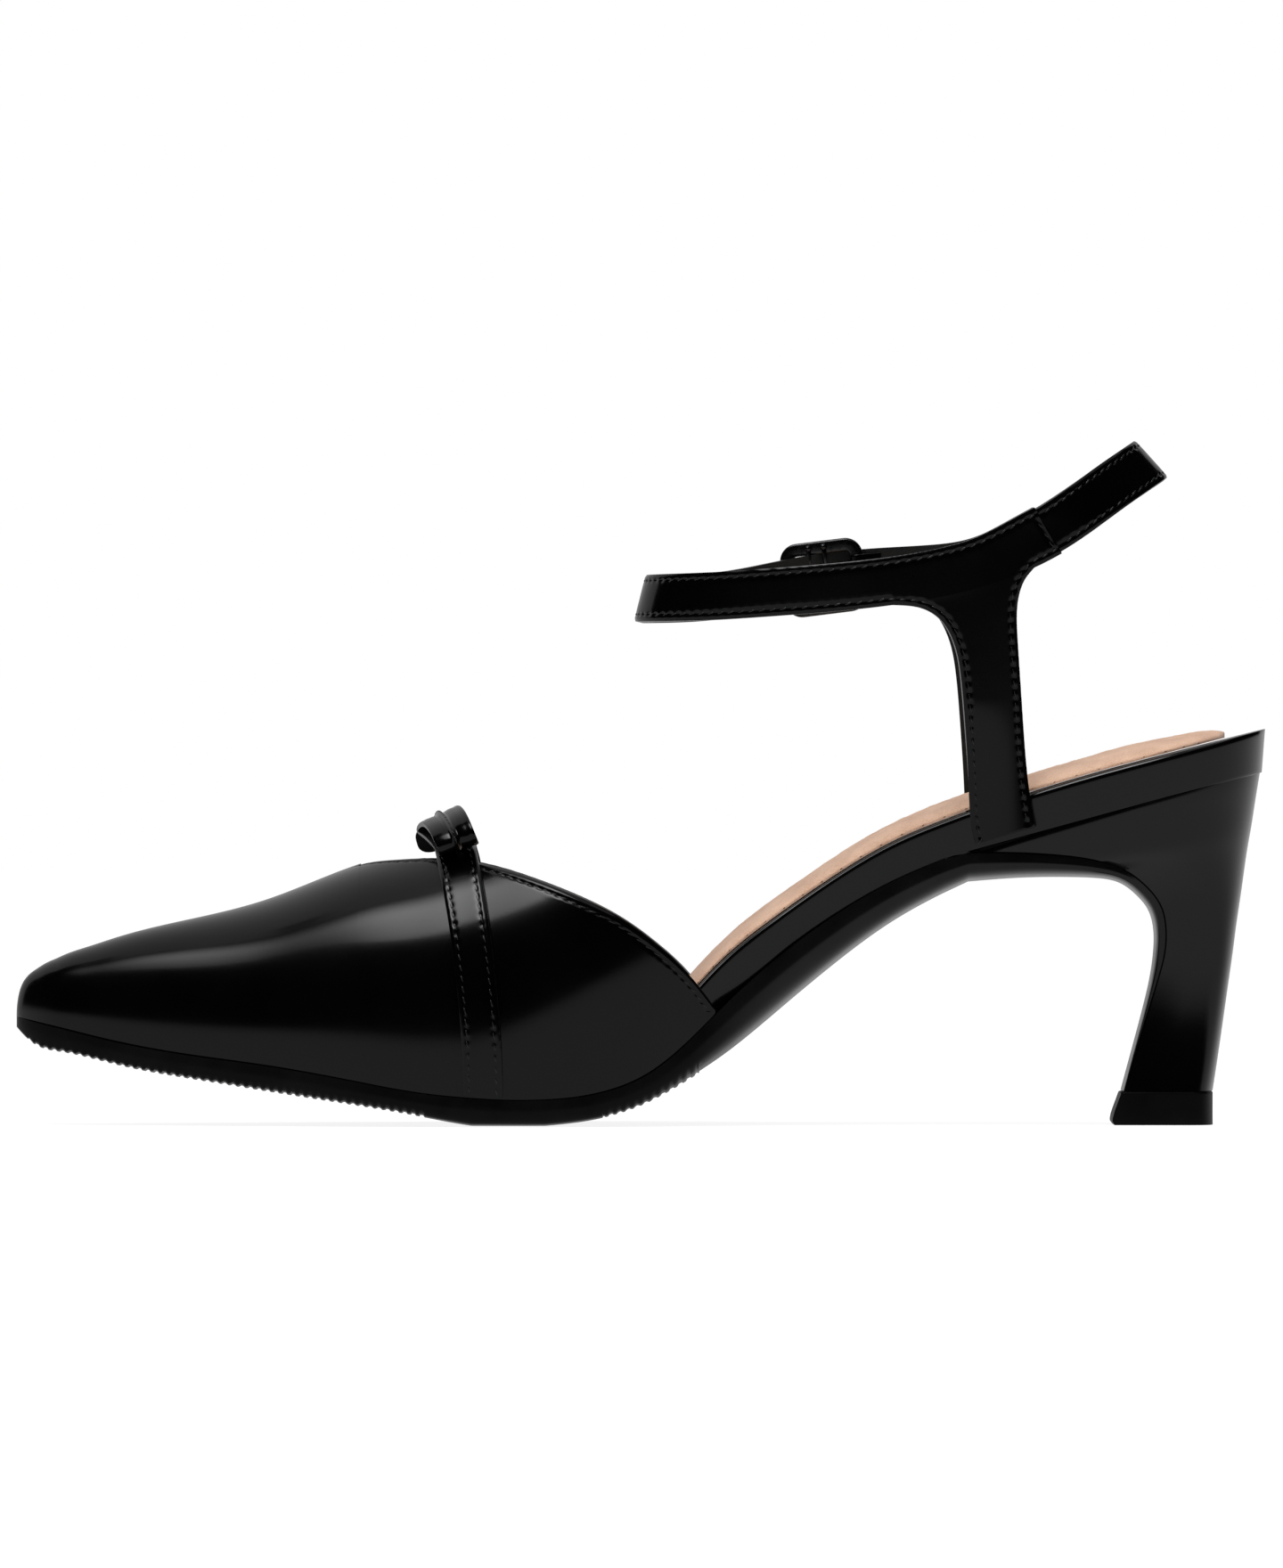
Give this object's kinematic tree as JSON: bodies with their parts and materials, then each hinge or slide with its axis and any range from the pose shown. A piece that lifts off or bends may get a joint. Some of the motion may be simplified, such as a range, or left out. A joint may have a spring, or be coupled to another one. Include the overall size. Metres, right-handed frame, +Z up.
{
  "type": "pointed toe pump with ankle strap",
  "caption": "Black polished leather pointed toe pump with open sides, a T-shaped ankle strap, a small bow on the instep strap and a curved flared heel.",
  "frame": {"origin": "on the floor, under the middle of the shoe's box", "axes": "+X from toe to heel, +Y from the inner side of the foot to the outer side, +Z up"},
  "size_m": [0.2478, 0.0779, 0.136],
  "materials": {
    "leather": "polished black leather",
    "sole_rubber": "satin black rubber",
    "lift_rubber": "matte black rubber",
    "sock": "tan suede cloth",
    "metal": "dark polished metal"
  },
  "bodies": {
    "root": {"outsole": "sole_rubber", "heel": "leather", "top_lift": "lift_rubber", "footbed_rim": "leather", "insole": "sock", "upper": "leather", "instep_strap": "leather", "bow_loop_medial": "leather", "bow_loop_lateral": "leather", "bow_knot": "leather", "ankle_strap_medial": "leather", "ankle_strap_lateral": "leather", "back_strap": "leather", "buckle_frame": "metal", "buckle_prong": "metal"}
  },
  "joints": []
}
